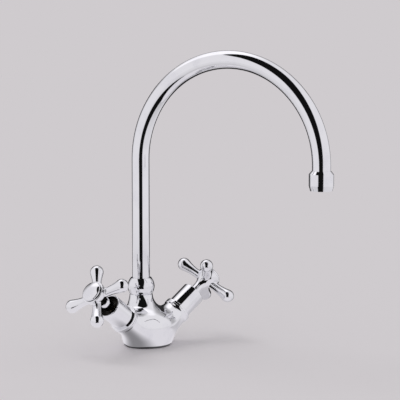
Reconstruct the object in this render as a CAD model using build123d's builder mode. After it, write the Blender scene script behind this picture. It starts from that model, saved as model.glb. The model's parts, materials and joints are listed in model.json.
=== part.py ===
from build123d import *
from math import cos, pi, radians, sin
import os

# Kitchen mixer tap with two cross handles and a swivelling swan-neck spout.
# Millimetres, +Z up, front is -Y. The origin is the centre of the base's underside.

# Body: a cup that widens from its base to a rim, two valve sockets and a flared neck
base_radius = 25.4
base_edge_round = 3.0
cup_wall_lean = 0.2
cup_waist_radius = 27.2
cup_waist_height = 12.0
cup_mouth_radius = 28.6
cup_mouth_height = 23.0
cup_rim_radius = 25.0
cup_rim_height = 31.0
dome_height = 36.0
socket_radius = 13.8
socket_lip_radius = 14.7
socket_lip_length = 3.4
socket_lip_land = 1.0
socket_root_clearance = 0.8
socket_blend = 8.0
socket_blend_least = 0.5
socket_blend_ratio = 1.5
socket_edge_round = 0.4
neck_radius = 11.7
neck_height = 51.8
neck_flare_drop = 12.5
neck_flare_share = 0.45
neck_flare_lean = 0.12
neck_column_radius = 16.2
neck_column_floor = 10.0
neck_blend = 5.0
neck_blend_least = 3.0
neck_bore_radius = 7.7
neck_bore_floor = 25.0
neck_thread_radius = 10.4
neck_thread_length = 7.6

# Underside of the body
inlet_reach = 13.0
inlet_radius = 4.5
inlet_depth = 10.0
inlet_passage_radius = 3.2
inlet_passage_height = 4.5
stud_offset = 15.0
stud_hole_radius = 3.4
stud_hole_depth = 14.0
seal_groove_inner = 19.6
seal_groove_width = 2.2
seal_groove_depth = 1.5

# Spout: a half circle between two straight legs
spout_offset = 9.6
spout_heading = -72.9
tube_radius = 9.0
tube_wall = 1.0
bend_radius = 101.2
bend_start_height = 190.8
outlet_leg = 4.2

# Spout nut, a round barrel
nut_height = 16.8
nut_foot_radius = 11.4
nut_belly_radius = 13.8
nut_belly_share = 0.46
nut_top_radius = 10.5
nut_gap = 0.2
nut_edge_round = 0.4

# Spout spigot, the turned bush in the foot of the tube, and what it turns on
slip_washer_thickness = 0.8
spigot_collar_thickness = 2.5
spigot_length = 17.0
spigot_plug_length = 8.0
spigot_bore_radius = 4.6
spigot_ring_spacing = 6.0
spigot_ring_offset = 5.5

# Rubber rings, one size of cord for all
ring_height = 1.8
ring_width = 1.7

# Aerator on the end of the spout
aerator_radius = 12.0
aerator_length = 19.0
aerator_overlap = 7.0
aerator_taper_height = 5.0
aerator_taper = 1.4
aerator_shoulder_height = 3.0
aerator_shoulder = 2.6
aerator_lip = 2.0
aerator_mouth_radius = 7.4
insert_wall = 1.2
insert_roof = 1.6
insert_hole_radius = 0.9
insert_hole_circle = 4.6
insert_hole_count = 8
aerator_washer_thickness = 1.6
aerator_washer_bore = 6.5
mesh_thickness = 0.8
mesh_hole_radius = 0.7
mesh_hole_pitch = 2.1
mesh_hole_rings = 3

# Valve line, measured from the point where the two valve axes meet; the splay turns both forward
valve_offset = 1.5
valve_elevation = 36.3
valve_splay = 5.8
valve_cross_height = 5.3
socket_reach = 44.3
seat_reach = 20.0
chamber_radius = 9.8
port_radius = 3.4
port_start = 13.0
socket_thread_start = 33.0
socket_thread_radius = 10.3
outlet_passage_radius = 2.8
outlet_passage_reach = 30.0
outlet_passage_height = 33.0

# Valve trim
collar_thickness = 2.8
collar_edge_round = 0.5
sleeve_radius = 12.5
sleeve_wall = 1.1
sleeve_length = 25.2
sleeve_end_wall = 6.4
sleeve_mouth_radius = 10.9
sleeve_mouth_depth = 3.4
sleeve_edge_round = 0.8

# Valve works
seal_thickness = 2.6
seal_stand_out = 0.8
seal_bore_radius = 4.6
disc_thickness = 3.0
disc_opening_radius = 3.2
disc_opening_width = 2.4
disc_opening_angle = 60.0
drive_lug_width = 2.0
drive_lug_height = 1.4
bonnet_barrel_radius = 8.4
bonnet_barrel_wall = 0.9
bonnet_thread_relief = 0.5
bonnet_flange_radius = 11.2
bonnet_flange_thickness = 2.5
bonnet_hex_flats = 19.4
bonnet_hex_height = 5.2
bonnet_neck_radius = 8.2
bonnet_neck_length = 16.5
bonnet_ring_drop = 2.6
window_height = 3.4
window_width = 8.0
window_rise = 0.3
spindle_radius = 4.5
spindle_notch_width = 5.0
spindle_notch_height = 3.0
spindle_notch_start = 1.9
spindle_ring_reach = 52.0
clip_thickness = 0.8
clip_radius = 5.4
clip_groove_depth = 0.6
clip_opening = 4.0
square_drive = 6.0
drive_length = 12.2

# Cross handle, with heights from the plane of its arms
handle_reach = 48.1
foot_radius = 5.6
foot_entry = 1.7
flare_start = 12.6
waist_drop = 1.0
waist_radius = 9.7
rim_rise = 7.0
hub_radius = 12.1
hub_rise = 8.2
hub_edge_round = 0.9
arm_count = 4
arm_reach = 36.3
arm_root = 6.0
arm_bulb_radius = 6.7
arm_neck_radius = 4.4
arm_neck_reach = 13.0
arm_bulb_turn = 105.0
arm_blend = 1.2
right_arm_angle = 36.0
left_arm_angle = 33.8
counterbore_radius = 8.7
counterbore_depth = 6.7
screw_well_radius = 4.4
hub_web = 4.0

# Handle screw and cap
screw_radius = 2.0
screw_head_radius = 3.6
screw_head_height = 2.8
screw_length = 12.5
screw_socket = 2.5
screw_socket_depth = 1.6
cap_radius = 10.3
cap_edge = 1.6
cap_edge_round = 1.3
cap_rise = 2.5
cap_shadow_gap = 0.6
cap_seat_width = 0.6
cap_plug_length = 6.2
cap_wall = 1.6

# Clearances, each a gap on the radius unless its name says otherwise
running_gap = 0.05
thread_gap = 0.1
tube_gap = 0.3
loose_gap = 0.2
film = 0.05
disc_film = 0.02
square_gap = 0.05
tapped_gap = 0.05

os.makedirs("parts", exist_ok=True)


def finish(part, name):
    """Label one finished piece and write its file."""
    part.label = name
    export_step(part, f"parts/{name}.step")
    print(name, round(part.volume, 1), "mm3", part.is_valid, len(part.solids()))


def turned(plane, axis, outline):
    """A piece turned about an axis from an outline of (radius, height) points."""
    with BuildPart() as piece:
        with BuildSketch(plane):
            with BuildLine():
                Polyline(*outline, close=True)
            make_face()
        revolve(axis=axis)
    return piece


def ring(plane, axis, inner, outer, start, end):
    """A plain turned ring between two radii and two heights."""
    return turned(plane, axis, [(inner, start), (outer, start), (outer, end), (inner, end)])


def valve_planes(side):
    """Planes of one valve: across its axis, and through it with x as the radius."""
    slope = radians(valve_elevation)
    splay = radians(valve_splay)
    centre = (0, -valve_offset, valve_cross_height)
    along = Vector(side * cos(slope) * cos(splay), -cos(slope) * sin(splay), sin(slope))
    backward = Vector(0, 1, 0) - along * along.Y
    across = Plane(origin=centre, x_dir=backward, z_dir=along)
    through = Plane(origin=centre, x_dir=backward, z_dir=backward.cross(along))
    return across, through, Axis(centre, along)


valves = {"left": valve_planes(-1), "right": valve_planes(1)}
arm_angles = {"left": left_arm_angle, "right": right_arm_angle}

# Planes of the base and of the spout's two ends
base_profile = Plane.YZ
spout_axis = Axis((0, spout_offset, 0), (0, 0, 1))
spout_ground = Plane(origin=(0, spout_offset, 0))
spout_profile = Plane(origin=(0, spout_offset, 0), x_dir=(0, 1, 0), z_dir=(1, 0, 0))
heading = radians(spout_heading)
spout_side = Plane(
    origin=(0, spout_offset, 0),
    x_dir=(cos(heading), sin(heading), 0),
    z_dir=(sin(heading), -cos(heading), 0),
)
outlet_origin = spout_side.from_local_coords((2 * bend_radius, 0, 0))
outlet_ground = Plane(origin=outlet_origin)
outlet_profile = Plane(origin=outlet_origin, x_dir=(0, 1, 0), z_dir=(1, 0, 0))
outlet_axis = Axis(outlet_origin, (0, 0, 1))

# Heights of the stack in the spout's foot
neck_top = neck_height + neck_thread_length
collar_bottom = neck_top + slip_washer_thickness + film
tube_foot = collar_bottom + spigot_collar_thickness
nut_shoulder = tube_foot + film + slip_washer_thickness
nut_bore_radius = neck_thread_radius + thread_gap
spigot_collar_radius = nut_bore_radius - tube_gap
spigot_radius = neck_bore_radius - running_gap

# Reaches of the stack in each valve; the socket starts just above the underside of the base
valve_slope = radians(valve_elevation)
socket_root = (
    socket_root_clearance + socket_radius * cos(valve_slope) - valve_cross_height
) / sin(valve_slope)
socket_land = socket_reach - socket_lip_length - cup_mouth_radius / cos(valve_slope)
socket_room = socket_blend_least + socket_blend_ratio * max(socket_land, 0)
socket_blend_limit = min(socket_blend, socket_room)
neck_blend_limit = min(neck_blend, neck_blend_least + max(socket_land, 0))
seal_top = seat_reach + seal_thickness
disc_face = seal_top + disc_thickness
moving_bottom = disc_face + disc_film
moving_top = moving_bottom + disc_thickness
spindle_shoulder = socket_thread_start - film
chamber_bore = bonnet_barrel_radius - bonnet_barrel_wall
moving_radius = chamber_bore - tube_gap
flange_top = socket_reach + bonnet_flange_thickness
hex_top = flange_top + bonnet_hex_height
bonnet_top = hex_top + bonnet_neck_length
sleeve_bottom = socket_reach + collar_thickness
sleeve_top = sleeve_bottom + sleeve_length
spindle_bore = spindle_radius + running_gap
clip_bottom = bonnet_top + loose_gap
drive_start = sleeve_top - foot_entry
drive_end = drive_start + drive_length
web_bottom = drive_end + thread_gap
web_top = web_bottom + hub_web
hub_plane = socket_reach + handle_reach
hub_top = hub_plane + hub_rise
well_top = hub_top - counterbore_depth

# Body
with BuildPart() as body:
    with BuildSketch(base_profile):
        with BuildLine():
            cup = Spline(
                (base_radius, 0),
                (cup_waist_radius, cup_waist_height),
                (cup_mouth_radius, cup_mouth_height),
                (cup_rim_radius, cup_rim_height),
                (0, dome_height),
                tangents=[(cup_wall_lean, 1), (-1, 0)],
            )
            Polyline(cup @ 1, (0, 0), cup @ 0)
        make_face()
    revolve(axis=Axis.Z)
    fillet(body.edges().group_by(Axis.Z)[0], base_edge_round)

    for across, through, axis in valves.values():
        with BuildSketch(through):
            with BuildLine():
                Polyline(
                    (0, socket_reach),
                    (0, socket_root),
                    (socket_radius, socket_root),
                    (socket_radius, socket_reach - socket_lip_length),
                )
                lip = Spline(
                    (socket_radius, socket_reach - socket_lip_length),
                    (socket_lip_radius, socket_reach - socket_lip_land),
                    tangents=[(0, 1), (0, 1)],
                )
                Polyline(lip @ 1, (socket_lip_radius, socket_reach), (0, socket_reach))
            make_face()
        revolve(axis=axis)
        fillet(body.edges(Select.NEW), socket_blend_limit)
        fillet(body.edges().filter_by(GeomType.CIRCLE).group_by(axis)[-1], socket_edge_round)

    with BuildSketch(spout_profile):
        with BuildLine():
            shoulder = Line((0, neck_height), (neck_radius, neck_height))
            flare_width = neck_column_radius - neck_radius
            flare = Spline(
                shoulder @ 1,
                (
                    neck_radius + neck_flare_share * flare_width,
                    neck_height - neck_flare_share * neck_flare_drop,
                ),
                (neck_column_radius, neck_height - neck_flare_drop),
                tangents=[(neck_flare_lean, -1), (0, -1)],
            )
            Polyline(
                flare @ 1,
                (neck_column_radius, neck_column_floor),
                (0, neck_column_floor),
                (0, neck_height),
            )
        make_face()
    revolve(axis=spout_axis)
    fillet(body.edges(Select.NEW), neck_blend_limit)

    # Thread for the spout nut, and the bore that the spigot turns in
    with BuildSketch(spout_ground.offset(neck_height)):
        Circle(neck_thread_radius)
    extrude(amount=neck_thread_length)
    with BuildSketch(spout_ground.offset(neck_top)):
        Circle(neck_bore_radius)
    extrude(amount=neck_bore_floor - neck_top, mode=Mode.SUBTRACT)

    # Valve bores, their ports to the inlets and their passages to the neck
    mixing_point = Vector(0, spout_offset, outlet_passage_height)
    for side, (across, through, axis) in valves.items():
        with BuildSketch(through):
            with BuildLine():
                Polyline(
                    (0, port_start),
                    (port_radius, port_start),
                    (port_radius, seat_reach),
                    (chamber_radius, seat_reach),
                    (chamber_radius, socket_thread_start),
                    (socket_thread_radius, socket_thread_start),
                    (socket_thread_radius, socket_reach),
                    (0, socket_reach),
                    close=True,
                )
            make_face()
        revolve(axis=axis, mode=Mode.SUBTRACT)
        passage_start = across.offset(outlet_passage_reach).origin
        passage = mixing_point - passage_start
        with BuildSketch(Plane(origin=passage_start, z_dir=passage)):
            Circle(outlet_passage_radius)
        extrude(amount=passage.length, mode=Mode.SUBTRACT)
    port_ends = [across.offset(inlet_reach).origin for across, through, axis in valves.values()]
    inlet_places = [(end.X, end.Y) for end in port_ends]
    with BuildSketch(Plane.XY):
        with Locations(*inlet_places):
            Circle(inlet_radius)
    extrude(amount=inlet_depth, mode=Mode.SUBTRACT)
    with BuildSketch(Plane.XY.offset(inlet_depth)):
        with Locations(*inlet_places):
            Circle(inlet_passage_radius)
    extrude(amount=inlet_passage_height, mode=Mode.SUBTRACT)

    # Stud hole and seal groove in the underside
    with BuildSketch(Plane.XY):
        with Locations((0, stud_offset)):
            Circle(stud_hole_radius)
    extrude(amount=stud_hole_depth, mode=Mode.SUBTRACT)
    with BuildSketch(Plane.XY):
        Circle(seal_groove_inner + seal_groove_width)
        Circle(seal_groove_inner, mode=Mode.SUBTRACT)
    extrude(amount=seal_groove_depth, mode=Mode.SUBTRACT)
finish(body.part, "body")

# Seal ring pressed into the groove under the base
base_seal = ring(
    base_profile,
    Axis.Z,
    seal_groove_inner + thread_gap,
    seal_groove_inner + seal_groove_width - thread_gap,
    0,
    seal_groove_depth,
)
finish(base_seal.part, "base_seal")

# Spout nut: a barrel with a thread below its shoulder
nut_bottom = neck_height + nut_gap
nut_top = neck_height + nut_gap + nut_height
with BuildPart() as spout_nut:
    with BuildSketch(spout_profile):
        with BuildLine():
            barrel = ThreePointArc(
                (nut_foot_radius, nut_bottom),
                (nut_belly_radius, nut_bottom + nut_belly_share * nut_height),
                (nut_top_radius, nut_top),
            )
            Polyline(
                barrel @ 1,
                (tube_radius + tube_gap, nut_top),
                (tube_radius + tube_gap, nut_shoulder),
                (nut_bore_radius, nut_shoulder),
                (nut_bore_radius, nut_bottom),
                barrel @ 0,
            )
        make_face()
    revolve(axis=spout_axis)
    fillet(spout_nut.edges().group_by(Axis.Z)[-1].sort_by(SortBy.RADIUS)[-1], nut_edge_round)
finish(spout_nut.part, "spout_nut")

# Slip washers, below and above the spigot's collar
washer_outer = nut_bore_radius - loose_gap
slip_washer_lower = ring(
    spout_profile,
    spout_axis,
    neck_bore_radius + tube_gap,
    washer_outer,
    neck_top,
    neck_top + slip_washer_thickness,
)
finish(slip_washer_lower.part, "slip_washer_lower")
slip_washer_upper = ring(
    spout_profile,
    spout_axis,
    tube_radius + tube_gap,
    washer_outer,
    tube_foot + film,
    nut_shoulder,
)
finish(slip_washer_upper.part, "slip_washer_upper")

# Spigot: the bush that plugs the tube and turns in the neck
spigot_bottom = collar_bottom - spigot_length
groove_floor = spigot_radius - ring_width
plug_radius = tube_radius - tube_wall - running_gap
with BuildPart() as spout_spigot:
    with BuildSketch(spout_profile):
        with BuildLine():
            Polyline(
                (spigot_bore_radius, spigot_bottom),
                (spigot_radius, spigot_bottom),
                (spigot_radius, collar_bottom),
                (spigot_collar_radius, collar_bottom),
                (spigot_collar_radius, tube_foot),
                (plug_radius, tube_foot),
                (plug_radius, tube_foot + spigot_plug_length),
                (spigot_bore_radius, tube_foot + spigot_plug_length),
                close=True,
            )
        make_face()
        for step in range(2):
            with Locations((spigot_radius, spigot_bottom + spigot_ring_offset + step * spigot_ring_spacing)):
                Rectangle(2 * ring_width, ring_height + loose_gap, mode=Mode.SUBTRACT)
    revolve(axis=spout_axis)
finish(spout_spigot.part, "spout_spigot")

for step, name in enumerate(("spout_ring_lower", "spout_ring_upper")):
    ring_middle = spigot_bottom + spigot_ring_offset + step * spigot_ring_spacing
    with BuildPart() as spout_ring:
        with BuildSketch(spout_profile):
            with Locations((spigot_radius - ring_width / 2, ring_middle)):
                RectangleRounded(ring_width, ring_height, ring_width / 4)
        revolve(axis=spout_axis)
    finish(spout_ring.part, name)

# Spout tube: one swept pipe
aerator_top = bend_start_height - outlet_leg
tube_end = aerator_top - aerator_overlap
with BuildPart() as spout_tube:
    with BuildLine(spout_side) as spout_path:
        rise = Line((0, tube_foot), (0, bend_start_height))
        bend = CenterArc((bend_radius, bend_start_height), bend_radius, 180, -180)
        Line(bend @ 1, (2 * bend_radius, tube_end))
    with BuildSketch(spout_ground.offset(tube_foot)):
        Circle(tube_radius)
        Circle(tube_radius - tube_wall, mode=Mode.SUBTRACT)
    sweep(path=spout_path.wires()[0])
finish(spout_tube.part, "spout_tube")

# Aerator housing, screwed over the end of the tube
aerator_bottom = aerator_top - aerator_length
aerator_bore = tube_radius + thread_gap
lip_top = aerator_bottom + aerator_lip
with BuildPart() as aerator_housing:
    with BuildSketch(outlet_profile):
        with BuildLine():
            Polyline(
                (aerator_mouth_radius, aerator_bottom),
                (aerator_radius - aerator_taper, aerator_bottom),
                (aerator_radius, aerator_bottom + aerator_taper_height),
                (aerator_radius, aerator_top - aerator_shoulder_height),
                (aerator_radius - aerator_shoulder, aerator_top),
                (aerator_bore, aerator_top),
                (aerator_bore, lip_top),
                (aerator_mouth_radius, lip_top),
                close=True,
            )
        make_face()
    revolve(axis=outlet_axis)
finish(aerator_housing.part, "aerator_housing")

washer_bottom = tube_end - aerator_washer_thickness
aerator_washer = ring(
    outlet_profile, outlet_axis, aerator_washer_bore, tube_radius, washer_bottom, tube_end
)
finish(aerator_washer.part, "aerator_washer")

# Aerator insert: a cup turned upside down, with a ring of jets in its roof
with BuildPart() as aerator_insert:
    with BuildSketch(outlet_ground.offset(lip_top)):
        Circle(tube_radius)
    extrude(amount=washer_bottom - lip_top)
    with BuildSketch(outlet_ground.offset(lip_top)):
        Circle(tube_radius - insert_wall)
    extrude(amount=washer_bottom - lip_top - insert_roof, mode=Mode.SUBTRACT)
    with BuildSketch(outlet_ground.offset(washer_bottom)):
        with PolarLocations(insert_hole_circle, insert_hole_count):
            Circle(insert_hole_radius)
    extrude(amount=-insert_roof, mode=Mode.SUBTRACT)
finish(aerator_insert.part, "aerator_insert")

with BuildPart() as aerator_mesh:
    with BuildSketch(outlet_ground.offset(lip_top)):
        Circle(tube_radius - insert_wall - running_gap)
        Circle(mesh_hole_radius, mode=Mode.SUBTRACT)
        for turn in range(1, mesh_hole_rings + 1):
            with PolarLocations(turn * mesh_hole_pitch, 6 * turn):
                Circle(mesh_hole_radius, mode=Mode.SUBTRACT)
    extrude(amount=mesh_thickness)
finish(aerator_mesh.part, "aerator_mesh")

for side, (across, through, axis) in valves.items():
    # Collar between the socket and the sleeve
    with BuildPart() as collar:
        with BuildSketch(across.offset(socket_reach)):
            Circle(socket_lip_radius)
            Circle(bonnet_flange_radius + loose_gap, mode=Mode.SUBTRACT)
        extrude(amount=collar_thickness)
        outer_edges = collar.edges().filter_by(GeomType.CIRCLE).group_by(SortBy.RADIUS)[-1]
        fillet(outer_edges, collar_edge_round)
    finish(collar.part, f"{side}_valve_collar")

    # Sleeve, screwed over the neck of the bonnet
    sleeve_bore = bonnet_neck_radius + thread_gap
    sleeve_ledge = sleeve_top - sleeve_mouth_depth
    with BuildPart() as sleeve:
        with BuildSketch(through):
            with BuildLine():
                Polyline(
                    (sleeve_radius - sleeve_wall, sleeve_bottom),
                    (sleeve_radius, sleeve_bottom),
                    (sleeve_radius, sleeve_top),
                    (sleeve_mouth_radius, sleeve_top),
                    (sleeve_mouth_radius, sleeve_ledge),
                    (sleeve_bore, sleeve_ledge),
                    (sleeve_bore, sleeve_top - sleeve_end_wall),
                    (sleeve_radius - sleeve_wall, sleeve_top - sleeve_end_wall),
                    close=True,
                )
            make_face()
        revolve(axis=axis)
        rims = sleeve.edges().filter_by(GeomType.CIRCLE).group_by(axis)[-1]
        fillet(rims.sort_by(SortBy.RADIUS)[-1], sleeve_edge_round)
    finish(sleeve.part, f"{side}_valve_sleeve")

    # Bonnet: barrel for the discs, thread, flange, hexagon and neck
    barrel_bottom = seat_reach + seal_stand_out
    bonnet_thread_start = socket_thread_start + bonnet_thread_relief
    bonnet_thread_radius = socket_thread_radius - thread_gap
    with BuildPart() as bonnet:
        with BuildSketch(through):
            with BuildLine():
                Polyline(
                    (chamber_bore, barrel_bottom),
                    (bonnet_barrel_radius, barrel_bottom),
                    (bonnet_barrel_radius, bonnet_thread_start),
                    (bonnet_thread_radius, bonnet_thread_start),
                    (bonnet_thread_radius, socket_reach),
                    (bonnet_flange_radius, socket_reach),
                    (bonnet_flange_radius, flange_top),
                    (bonnet_neck_radius, flange_top),
                    (bonnet_neck_radius, bonnet_top),
                    (spindle_bore, bonnet_top),
                    (spindle_bore, socket_thread_start),
                    (chamber_bore, socket_thread_start),
                    close=True,
                )
            make_face()
            with Locations((bonnet_thread_radius, socket_reach - bonnet_ring_drop)):
                Rectangle(2 * ring_width, ring_height + loose_gap, mode=Mode.SUBTRACT)
        revolve(axis=axis)
        with BuildSketch(across.offset(flange_top)):
            RegularPolygon(bonnet_hex_flats / 2, 6, major_radius=False)
            Circle(spindle_bore, mode=Mode.SUBTRACT)
        extrude(amount=bonnet_hex_height)
        with BuildSketch(across.offset(moving_top + window_rise)):
            Rectangle(2 * chamber_radius, window_width)
        extrude(amount=window_height, mode=Mode.SUBTRACT)
    finish(bonnet.part, f"{side}_bonnet")

    with BuildPart() as bonnet_ring:
        with BuildSketch(through):
            with Locations((bonnet_thread_radius - ring_width / 2, socket_reach - bonnet_ring_drop)):
                RectangleRounded(ring_width, ring_height, ring_width / 4)
        revolve(axis=axis)
    finish(bonnet_ring.part, f"{side}_bonnet_ring")

    # Seat seal under the discs
    seat_seal = ring(through, axis, seal_bore_radius, chamber_bore - thread_gap, seat_reach, seal_top)
    finish(seat_seal.part, f"{side}_seat_seal")

    # Ceramic discs: the moving one stands a quarter turn from open
    with BuildPart() as fixed_disc:
        with BuildSketch(across.offset(seal_top)):
            Circle(chamber_bore - running_gap)
            with PolarLocations(0, 2):
                SlotArc(
                    CenterArc((0, 0), disc_opening_radius, -disc_opening_angle / 2, disc_opening_angle),
                    disc_opening_width,
                    mode=Mode.SUBTRACT,
                )
        extrude(amount=disc_thickness)
    finish(fixed_disc.part, f"{side}_fixed_disc")

    with BuildPart() as moving_disc:
        with BuildSketch(across.offset(moving_bottom)):
            Circle(moving_radius)
            with PolarLocations(0, 2, start_angle=90):
                SlotArc(
                    CenterArc((0, 0), disc_opening_radius, -disc_opening_angle / 2, disc_opening_angle),
                    disc_opening_width,
                    mode=Mode.SUBTRACT,
                )
        extrude(amount=disc_thickness)
        with BuildSketch(across.offset(moving_top)):
            Rectangle(2 * chamber_bore, drive_lug_width + 2 * running_gap)
        extrude(amount=-drive_lug_height - running_gap, mode=Mode.SUBTRACT)
    finish(moving_disc.part, f"{side}_moving_disc")

    # Spindle: foot with its drive lug, stem with two grooves, square drive in line with the arms
    arm_turn = radians(arm_angles[side])
    square_side = across.x_dir * cos(arm_turn) + across.y_dir * sin(arm_turn)
    square_plane = Plane(origin=across.origin, x_dir=square_side, z_dir=across.z_dir)
    clip_groove_radius = spindle_radius - clip_groove_depth
    with BuildPart() as spindle:
        with BuildSketch(through):
            with BuildLine():
                Polyline(
                    (0, moving_top),
                    (moving_radius, moving_top),
                    (moving_radius, spindle_shoulder),
                    (spindle_radius, spindle_shoulder),
                    (spindle_radius, clip_bottom),
                    (clip_groove_radius, clip_bottom),
                    (clip_groove_radius, clip_bottom + clip_thickness),
                    (spindle_radius, clip_bottom + clip_thickness),
                    (spindle_radius, drive_start),
                    (0, drive_start),
                    close=True,
                )
            make_face()
            with Locations((spindle_radius, spindle_ring_reach)):
                Rectangle(2 * ring_width, ring_height + loose_gap, mode=Mode.SUBTRACT)
        revolve(axis=axis)
        with BuildSketch(across.offset(moving_top)):
            for turn in (-1, 1):
                with Locations((0, turn * (spindle_notch_start + moving_radius / 2))):
                    Rectangle(spindle_notch_width, moving_radius)
        extrude(amount=spindle_notch_height, mode=Mode.SUBTRACT)
        with BuildSketch(across.offset(moving_top)):
            Rectangle(2 * spindle_radius, drive_lug_width)
        extrude(amount=-drive_lug_height)
        with BuildSketch(square_plane.offset(drive_start)):
            Rectangle(square_drive, square_drive)
        extrude(amount=drive_length)
        with BuildSketch(across.offset(drive_end)):
            Circle(screw_radius + tapped_gap)
        extrude(amount=web_top - drive_end - screw_length - loose_gap, mode=Mode.SUBTRACT)
    finish(spindle.part, f"{side}_spindle")

    with BuildPart() as spindle_ring:
        with BuildSketch(through):
            with Locations((spindle_radius - ring_width / 2, spindle_ring_reach)):
                RectangleRounded(ring_width, ring_height, ring_width / 4)
        revolve(axis=axis)
    finish(spindle_ring.part, f"{side}_spindle_ring")

    # Spring clip on the spindle, above the bonnet
    with BuildPart() as spindle_clip:
        with BuildSketch(across.offset(clip_bottom)):
            Circle(clip_radius)
            Circle(clip_groove_radius, mode=Mode.SUBTRACT)
            with Locations((clip_radius, 0)):
                Rectangle(2 * clip_radius, clip_opening, mode=Mode.SUBTRACT)
        extrude(amount=clip_thickness)
    finish(spindle_clip.part, f"{side}_spindle_clip")

    # Cross handle: a trumpet-shaped hub with four teardrop arms
    hub_origin = across.offset(hub_plane).origin
    along = across.z_dir
    with BuildPart() as handle:
        with BuildSketch(through):
            with BuildLine():
                stem = Polyline(
                    (0, drive_start), (foot_radius, drive_start), (foot_radius, hub_plane - flare_start)
                )
                flare = Spline(
                    stem @ 1,
                    (waist_radius, hub_plane - waist_drop),
                    (hub_radius, hub_plane + rim_rise),
                    tangents=[(0, 1), (0, 1)],
                )
                Polyline(flare @ 1, (hub_radius, hub_top), (0, hub_top), (0, drive_start))
            make_face()
        revolve(axis=axis)
        fillet(handle.edges().filter_by(GeomType.CIRCLE).group_by(axis)[-1], hub_edge_round)
        for turn in range(arm_count):
            arm_angle = arm_turn + turn * 2 * pi / arm_count
            outward = across.x_dir * cos(arm_angle) + across.y_dir * sin(arm_angle)
            arm_plane = Plane(origin=hub_origin, x_dir=outward, z_dir=outward.cross(along))
            bulb_centre = arm_reach - arm_bulb_radius
            with BuildSketch(arm_plane):
                with BuildLine():
                    shank = Line((arm_root, arm_neck_radius), (arm_neck_reach, arm_neck_radius))
                    bulb = CenterArc((bulb_centre, 0), arm_bulb_radius, arm_bulb_turn, -arm_bulb_turn)
                    Spline(shank @ 1, bulb @ 0, tangents=[(1, 0), bulb % 0])
                    Polyline(bulb @ 1, (arm_root, 0), shank @ 0)
                make_face()
            revolve(axis=Axis(hub_origin, outward))
            fillet(handle.edges(Select.NEW), arm_blend)
        with BuildSketch(across.offset(hub_top)):
            Circle(counterbore_radius)
        extrude(amount=-counterbore_depth, mode=Mode.SUBTRACT)
        with BuildSketch(across.offset(well_top)):
            Circle(screw_well_radius)
        extrude(amount=web_top - well_top, mode=Mode.SUBTRACT)
        with BuildSketch(across.offset(web_top)):
            Circle(screw_radius + loose_gap)
        extrude(amount=-hub_web, mode=Mode.SUBTRACT)
        with BuildSketch(square_plane.offset(drive_start)):
            Rectangle(square_drive + 2 * square_gap, square_drive + 2 * square_gap)
        extrude(amount=web_bottom - drive_start, mode=Mode.SUBTRACT)
    finish(handle.part, f"{side}_handle")

    # Handle screw with a hexagon socket
    with BuildPart() as handle_screw:
        with BuildSketch(across.offset(web_top)):
            Circle(screw_head_radius)
        extrude(amount=screw_head_height)
        with BuildSketch(across.offset(web_top)):
            Circle(screw_radius)
        extrude(amount=-screw_length)
        with BuildSketch(across.offset(web_top + screw_head_height)):
            RegularPolygon(screw_socket / 2, 6, major_radius=False)
        extrude(amount=-screw_socket_depth, mode=Mode.SUBTRACT)
    finish(handle_screw.part, f"{side}_handle_screw")

    # Cap: a shallow dome on a hollow plug, held off the hub by a narrow seat
    cap_base = hub_top + cap_shadow_gap
    plug_outer = counterbore_radius - thread_gap
    with BuildPart() as handle_cap:
        with BuildSketch(through):
            with BuildLine():
                crown = TangentArc(
                    (0, cap_base + cap_edge + cap_rise), (cap_radius, cap_base + cap_edge), tangent=(1, 0)
                )
                Polyline(
                    crown @ 1,
                    (cap_radius, cap_base),
                    (counterbore_radius + cap_seat_width, cap_base),
                    (counterbore_radius + cap_seat_width, hub_top),
                    (plug_outer, hub_top),
                    (plug_outer, hub_top - cap_plug_length),
                    (plug_outer - cap_wall, hub_top - cap_plug_length),
                    (plug_outer - cap_wall, cap_base),
                    (0, cap_base),
                    crown @ 0,
                )
            make_face()
        revolve(axis=axis)
        whole_circles = handle_cap.edges().filter_by(lambda edge: edge.is_closed)
        fillet(whole_circles.group_by(SortBy.RADIUS)[-1].sort_by(axis)[-1], cap_edge_round)
    finish(handle_cap.part, f"{side}_handle_cap")
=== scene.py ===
"""Studio scene of a two-handle kitchen mixer tap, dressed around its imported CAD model.

Everything is in metres in the model's own frame: +Z up, front is -Y, the origin under
the middle of the base.
"""

from __future__ import annotations

import json
import logging
from dataclasses import dataclass
from enum import Enum
from math import cos, degrees, radians, sin, tau

import bmesh
import bpy
import numpy as np
from mathutils import Matrix, Vector

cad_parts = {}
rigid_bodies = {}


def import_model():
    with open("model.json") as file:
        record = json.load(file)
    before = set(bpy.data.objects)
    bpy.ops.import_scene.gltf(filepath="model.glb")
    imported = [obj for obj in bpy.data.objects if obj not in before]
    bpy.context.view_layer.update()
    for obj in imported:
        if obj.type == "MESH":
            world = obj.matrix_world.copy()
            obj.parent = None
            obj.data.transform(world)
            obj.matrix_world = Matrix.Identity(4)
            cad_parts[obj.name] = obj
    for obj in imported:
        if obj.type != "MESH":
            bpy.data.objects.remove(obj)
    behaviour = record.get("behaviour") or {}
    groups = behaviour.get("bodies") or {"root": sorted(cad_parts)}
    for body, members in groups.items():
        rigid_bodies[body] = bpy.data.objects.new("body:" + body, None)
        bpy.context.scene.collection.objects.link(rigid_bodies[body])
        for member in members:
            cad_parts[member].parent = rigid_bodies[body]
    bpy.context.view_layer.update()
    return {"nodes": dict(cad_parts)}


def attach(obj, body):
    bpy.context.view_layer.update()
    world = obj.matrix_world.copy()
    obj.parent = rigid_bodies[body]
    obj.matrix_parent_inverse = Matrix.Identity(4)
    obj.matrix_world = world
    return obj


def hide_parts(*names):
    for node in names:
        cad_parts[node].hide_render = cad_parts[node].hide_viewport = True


MM = 0.001
TURN_STEPS = 64
MERGE = 1e-7
SHARP = 0.6
HALF_TURN = 180.0
FULL_TURN = 360.0
UP = Vector((0.0, 0.0, 1.0))

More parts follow.
